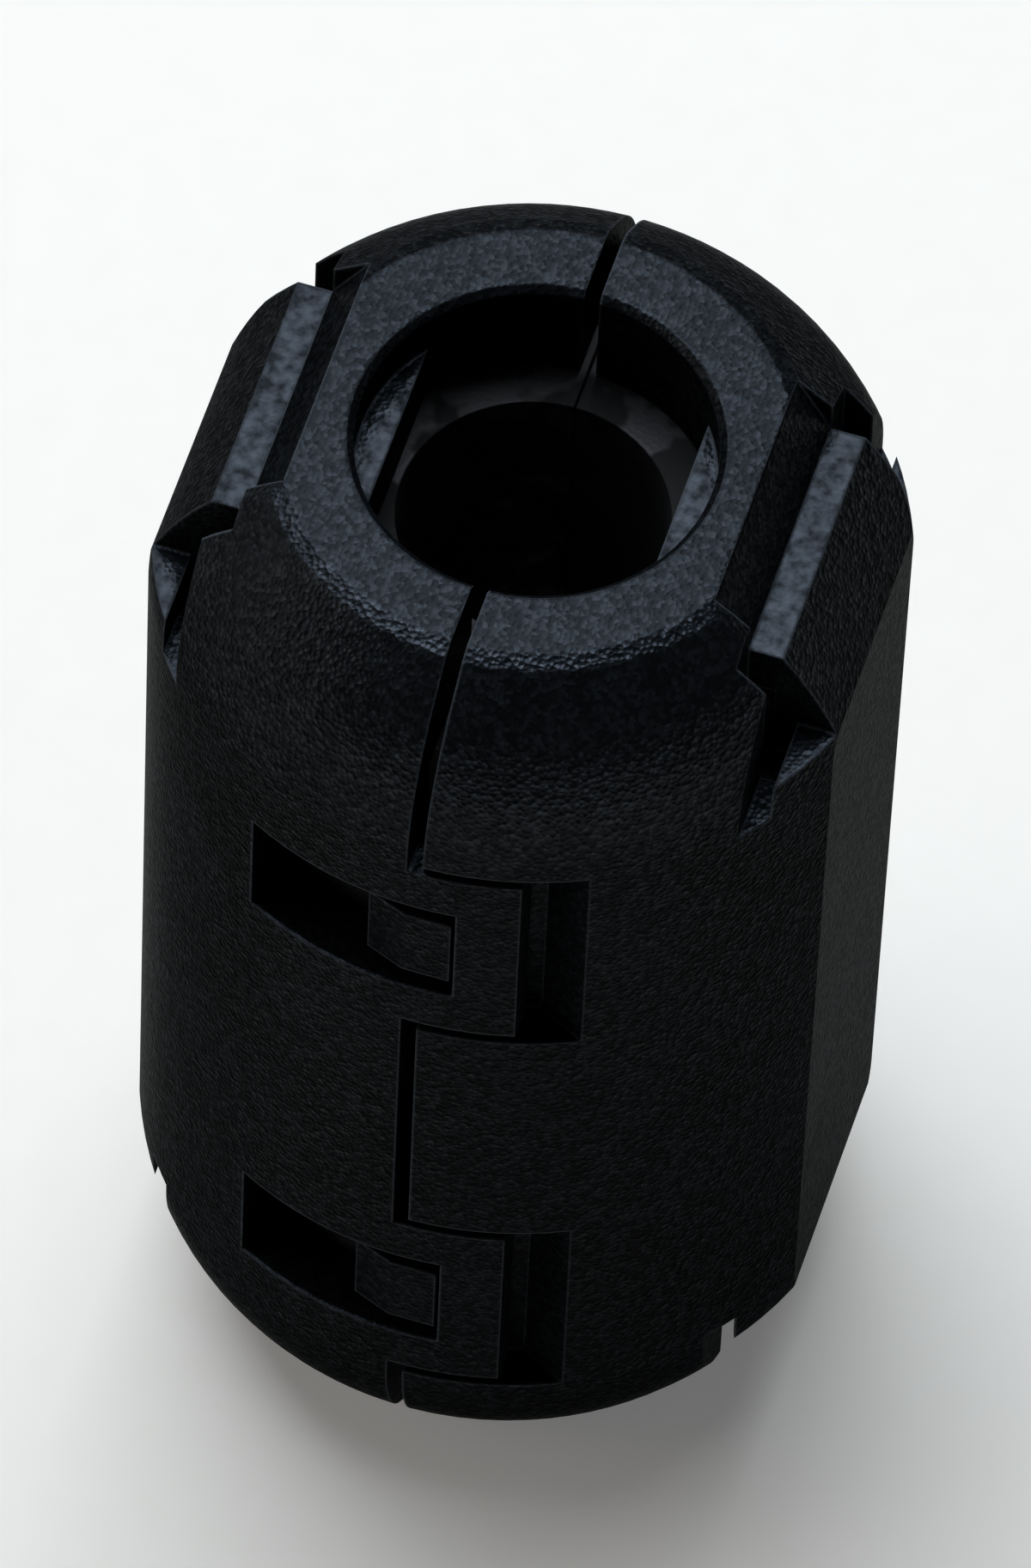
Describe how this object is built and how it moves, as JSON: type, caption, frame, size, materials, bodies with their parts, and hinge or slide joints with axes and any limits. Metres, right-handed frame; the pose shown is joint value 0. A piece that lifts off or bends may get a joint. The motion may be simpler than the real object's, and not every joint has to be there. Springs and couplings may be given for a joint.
{
  "type": "clip-on ferrite bead",
  "caption": "Black barrel-shaped clip-on ferrite bead: hinged half shells with snap loops and hooks close a split core round a cable.",
  "frame": {"origin": "on the cable hole's axis, at the lower end ring's face, where the closed bead stands", "axes": "+Z along the cable hole, +X across the parting plane towards the half with the hooks, -Y towards the latches, +Y towards the film hinge"},
  "size_m": [0.0182, 0.02, 0.035],
  "materials": {
    "case_nylon": "moulded black nylon with a fine spark-eroded grain",
    "ferrite": "sintered dark grey ferrite with ground joint faces"
  },
  "bodies": {
    "left_half": {"left_shell": "case_nylon", "left_core": "ferrite", "film_hinge": "case_nylon"},
    "right_half": {"right_shell": "case_nylon", "right_core": "ferrite"}
  },
  "joints": [
    {"name": "case_hinge", "type": "hinge", "parent": "left_half", "child": "right_half", "pos_m": [0, 0.01016, 0.0175], "axis": [0, 0, 1], "range_deg": [0, 180], "deforming": ["film_hinge"]}
  ]
}
